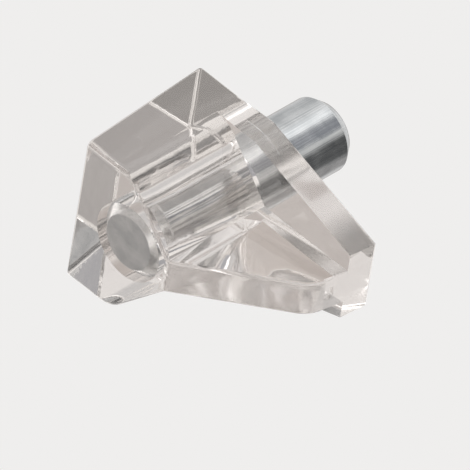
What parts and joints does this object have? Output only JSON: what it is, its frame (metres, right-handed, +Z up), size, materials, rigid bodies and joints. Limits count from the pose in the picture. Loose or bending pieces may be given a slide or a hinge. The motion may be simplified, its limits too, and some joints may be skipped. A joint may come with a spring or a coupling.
{
  "type": "shelf support pin",
  "caption": "Clear moulded shelf support on a steel pin: a seat for the shelf on top, a back plate with a web below, and a round pin that pushes into the cabinet side.",
  "frame": {"origin": "on the pin's axis, in the plane of the back face that bears on the cabinet side", "axes": "+Y along the pin, out of the back face into the cabinet side; +Z up, towards the shelf; +X across the width"},
  "size_m": [0.0138, 0.0221, 0.0203],
  "materials": {
    "clear_plastic": "clear, very slightly grey moulded plastic with glossy faces",
    "plated_steel": "bright plated steel, drawn smooth along its length, with a straight knurl where the body holds it"
  },
  "bodies": {
    "root": {"support_body": "clear_plastic", "steel_pin": "plated_steel"}
  },
  "joints": []
}
